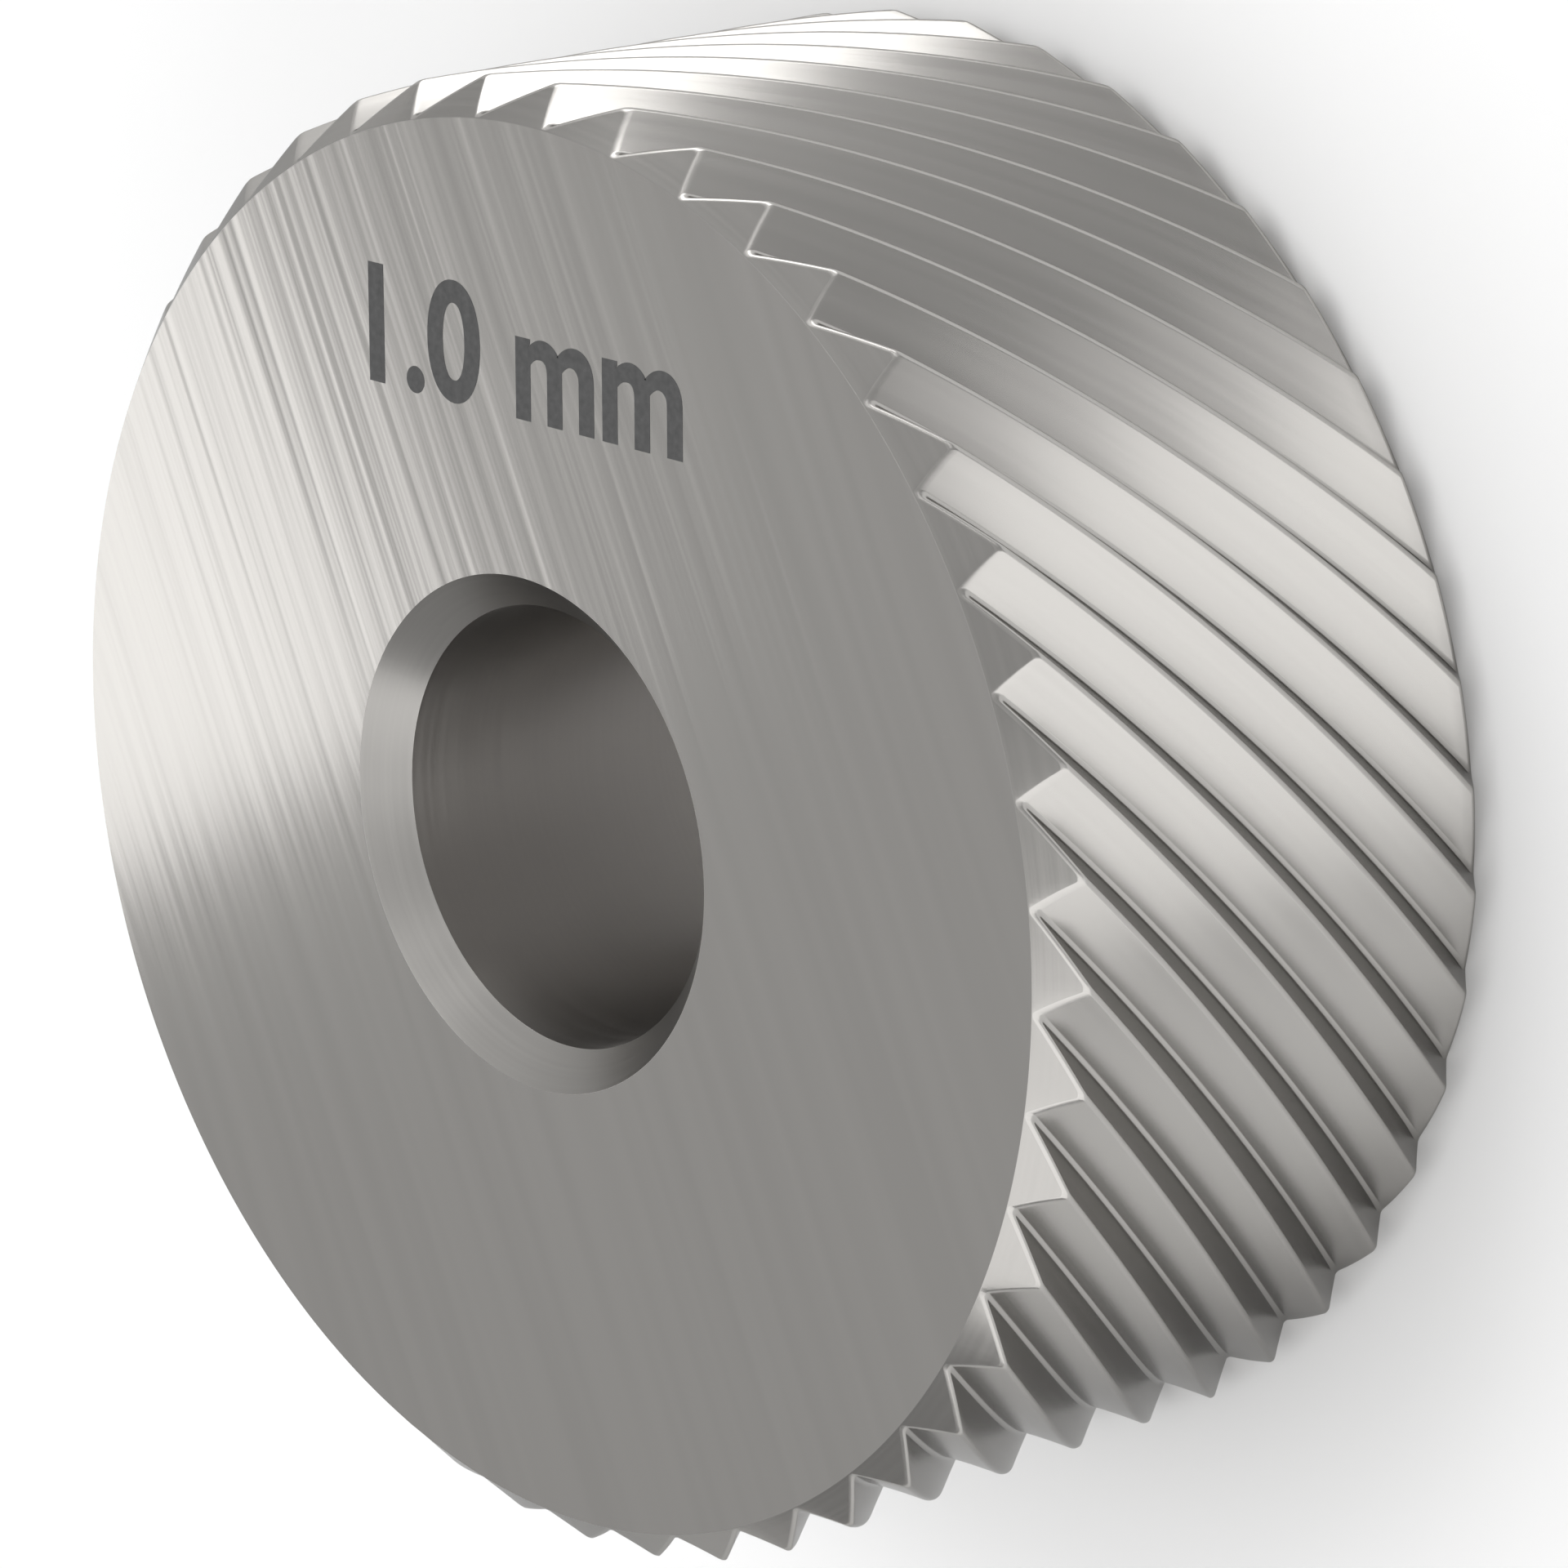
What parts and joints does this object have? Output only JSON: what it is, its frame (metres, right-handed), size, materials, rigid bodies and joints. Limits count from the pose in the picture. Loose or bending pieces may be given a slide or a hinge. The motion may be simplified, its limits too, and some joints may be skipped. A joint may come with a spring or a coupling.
{
  "type": "knurling wheel",
  "caption": "Steel disc with a plain bore and right-hand helical V teeth round its rim, bevelled at both faces, for rolling a diagonal knurl on a lathe.",
  "frame": {"origin": "where the bore's axis meets the back face", "axes": "+Z along the bore's axis, from the back face to the front face; the wheel lies on its back face"},
  "size_m": [0.02, 0.02, 0.008],
  "materials": {
    "ground_steel": "satin, with straight grinding lines on the faces",
    "etched_mark": "dark laser etching in the steel surface"
  },
  "bodies": {
    "root": {"knurling_wheel": "ground_steel"}
  },
  "joints": []
}
